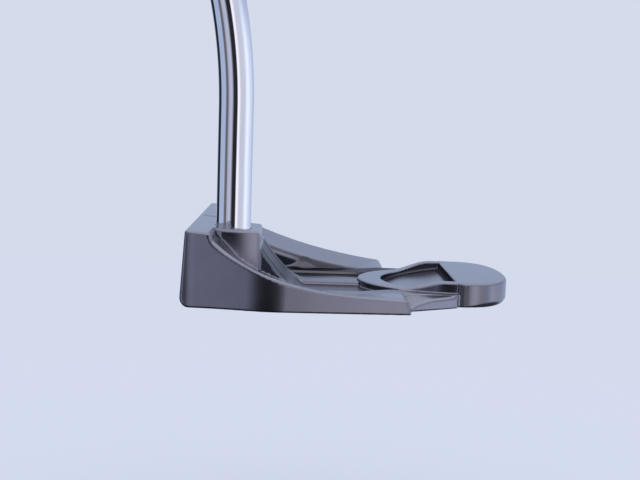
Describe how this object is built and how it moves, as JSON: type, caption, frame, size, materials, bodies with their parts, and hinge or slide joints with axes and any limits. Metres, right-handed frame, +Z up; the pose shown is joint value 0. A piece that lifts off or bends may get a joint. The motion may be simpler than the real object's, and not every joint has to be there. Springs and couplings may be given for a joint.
{
  "type": "mallet putter",
  "caption": "Mallet putter with a milled dark metal head, swept wings and a crescent ring at the tail, a double-bend chromed shaft and a pistol grip, for rolling a golf ball along the ground.",
  "frame": {"origin": "on the ground under the middle of the flat sole, on the head's centre plane", "axes": "+X from the face to the tail, +Y from heel to toe, +Z up from the ground"},
  "size_m": [0.1081, 0.356, 0.8212],
  "materials": {
    "head_steel": "satin dark gunmetal",
    "insert_alloy": "matt dark anodised",
    "bonding_tape": "matt",
    "sight_enamel": "enamel",
    "weight_steel": "turned steel",
    "shaft_chrome": "mirror chrome",
    "epoxy": "cured dark glue",
    "grip_rubber": "moulded rubber",
    "cap_rubber": "smooth rubber"
  },
  "bodies": {
    "club": {"head_body": "head_steel", "face_insert": "insert_alloy", "insert_tape": "bonding_tape", "sight_line": "sight_enamel", "shaft": "shaft_chrome", "shaft_epoxy": "epoxy", "grip_tape": "bonding_tape", "grip": "grip_rubber", "grip_cap": "cap_rubber"},
    "heel_weight": {"heel_weight": "weight_steel"},
    "toe_weight": {"toe_weight": "weight_steel"}
  },
  "joints": [
    {"name": "heel_weight_out", "type": "slide", "parent": "club", "child": "heel_weight", "axis": [0, 0, -1], "range_m": [0, 0.012]},
    {"name": "toe_weight_out", "type": "slide", "parent": "club", "child": "toe_weight", "axis": [0, 0, -1], "range_m": [0, 0.012]}
  ]
}
